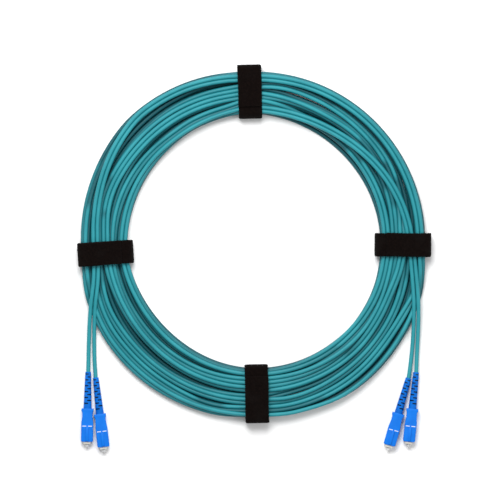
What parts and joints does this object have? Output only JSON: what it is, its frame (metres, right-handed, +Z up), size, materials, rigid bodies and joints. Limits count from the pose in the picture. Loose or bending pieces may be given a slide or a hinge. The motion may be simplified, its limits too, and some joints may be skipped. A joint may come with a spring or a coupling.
{
  "type": "fiber optic patch cord",
  "caption": "Duplex fiber optic patch cord wound in a flat coil, tied with hook-and-loop straps, with push-pull plugs and tapered boots on its split ends.",
  "frame": {"origin": "centre of the coil's eye, on the plane that the cord lies on", "axes": "+Z up, square to the coil; +Y away from the plugs, across the coil to the far strap; +X to the right, from the first pair of plugs to the second"},
  "size_m": [0.2658, 0.2913, 0.0141],
  "materials": {
    "jacket": "satin",
    "strap": "matte",
    "grip": "satin",
    "boot": "satin",
    "plug_frame": "satin",
    "ferrule": "polished",
    "plated_metal": "satin",
    "spring_steel": "polished",
    "rear_body": "satin",
    "yarn": "matte",
    "fibre": "polished",
    "mark": "satin"
  },
  "bodies": {
    "cord": {"coil": "jacket", "strap_left": "strap", "strap_top": "strap", "strap_right": "strap", "strap_bottom": "strap", "leg_left_a": "jacket", "leg_left_b": "jacket", "leg_right_b": "jacket", "leg_right_a": "jacket", "plug_frame_left_a": "plug_frame", "plug_frame_left_b": "plug_frame", "plug_frame_right_b": "plug_frame", "plug_frame_right_a": "plug_frame", "spring_left_a": "spring_steel", "spring_left_b": "spring_steel", "spring_right_b": "spring_steel", "spring_right_a": "spring_steel", "rear_body_left_a": "rear_body", "rear_body_left_b": "rear_body", "rear_body_right_b": "rear_body", "rear_body_right_a": "rear_body", "yarn_left_a": "yarn", "yarn_left_b": "yarn", "yarn_right_b": "yarn", "yarn_right_a": "yarn", "crimp_sleeve_left_a": "plated_metal", "crimp_sleeve_left_b": "plated_metal", "crimp_sleeve_right_b": "plated_metal", "crimp_sleeve_right_a": "plated_metal", "boot_left_a": "boot", "boot_left_b": "boot", "boot_right_b": "boot", "boot_right_a": "boot"},
    "sliding_grip_left_a": {"grip_left_a": "grip"},
    "floating_ferrule_left_a": {"ferrule_left_a": "ferrule", "flange_left_a": "plated_metal", "fibre_left_a": "fibre"},
    "sliding_grip_left_b": {"grip_left_b": "grip"},
    "floating_ferrule_left_b": {"ferrule_left_b": "ferrule", "flange_left_b": "plated_metal", "fibre_left_b": "fibre"},
    "sliding_grip_right_b": {"grip_right_b": "grip"},
    "floating_ferrule_right_b": {"ferrule_right_b": "ferrule", "flange_right_b": "plated_metal", "fibre_right_b": "fibre"},
    "sliding_grip_right_a": {"grip_right_a": "grip"},
    "floating_ferrule_right_a": {"ferrule_right_a": "ferrule", "flange_right_a": "plated_metal", "fibre_right_a": "fibre"},
    "peeling_tail_left": {"strap_tail_left": "strap"},
    "peeling_tail_top": {"strap_tail_top": "strap"},
    "peeling_tail_right": {"strap_tail_right": "strap"},
    "peeling_tail_bottom": {"strap_tail_bottom": "strap"}
  },
  "joints": [
    {"name": "grip_pull_left_a", "type": "slide", "parent": "cord", "child": "sliding_grip_left_a", "axis": [0.0175, 0.9998, 0], "range_m": [0, 0.002]},
    {"name": "ferrule_float_left_a", "type": "slide", "parent": "cord", "child": "floating_ferrule_left_a", "axis": [0.0175, 0.9998, 0], "range_m": [0, 0.0015], "stiffness_N_per_m": 4500, "deforming": ["spring_left_a"]},
    {"name": "grip_pull_left_b", "type": "slide", "parent": "cord", "child": "sliding_grip_left_b", "axis": [-0.1132, 0.9936, 0], "range_m": [0, 0.002]},
    {"name": "ferrule_float_left_b", "type": "slide", "parent": "cord", "child": "floating_ferrule_left_b", "axis": [-0.1132, 0.9936, 0], "range_m": [0, 0.0015], "stiffness_N_per_m": 4500, "deforming": ["spring_left_b"]},
    {"name": "grip_pull_right_b", "type": "slide", "parent": "cord", "child": "sliding_grip_right_b", "axis": [0.2756, 0.9613, 0], "range_m": [0, 0.002]},
    {"name": "ferrule_float_right_b", "type": "slide", "parent": "cord", "child": "floating_ferrule_right_b", "axis": [0.2756, 0.9613, 0], "range_m": [0, 0.0015], "stiffness_N_per_m": 4500, "deforming": ["spring_right_b"]},
    {"name": "grip_pull_right_a", "type": "slide", "parent": "cord", "child": "sliding_grip_right_a", "axis": [0.1045, 0.9945, 0], "range_m": [0, 0.002]},
    {"name": "ferrule_float_right_a", "type": "slide", "parent": "cord", "child": "floating_ferrule_right_a", "axis": [0.1045, 0.9945, 0], "range_m": [0, 0.0015], "stiffness_N_per_m": 4500, "deforming": ["spring_right_a"]},
    {"name": "tail_peel_left", "type": "hinge", "parent": "cord", "child": "peeling_tail_left", "pos_m": [-0.12906, -0.00789, 0.01265], "axis": [0.061, -0.9981, 0], "range_deg": [0, 120]},
    {"name": "tail_peel_top", "type": "hinge", "parent": "cord", "child": "peeling_tail_top", "pos_m": [-0.00299, 0.13177, 0.01265], "axis": [-0.9997, -0.0227, 0], "range_deg": [0, 120]},
    {"name": "tail_peel_right", "type": "hinge", "parent": "cord", "child": "peeling_tail_right", "pos_m": [0.1305, -0.00091, 0.01265], "axis": [0.007, 1, 0], "range_deg": [0, 120]},
    {"name": "tail_peel_bottom", "type": "hinge", "parent": "cord", "child": "peeling_tail_bottom", "pos_m": [0.00275, -0.13147, 0.01265], "axis": [0.9998, 0.0209, 0], "range_deg": [0, 120]}
  ]
}
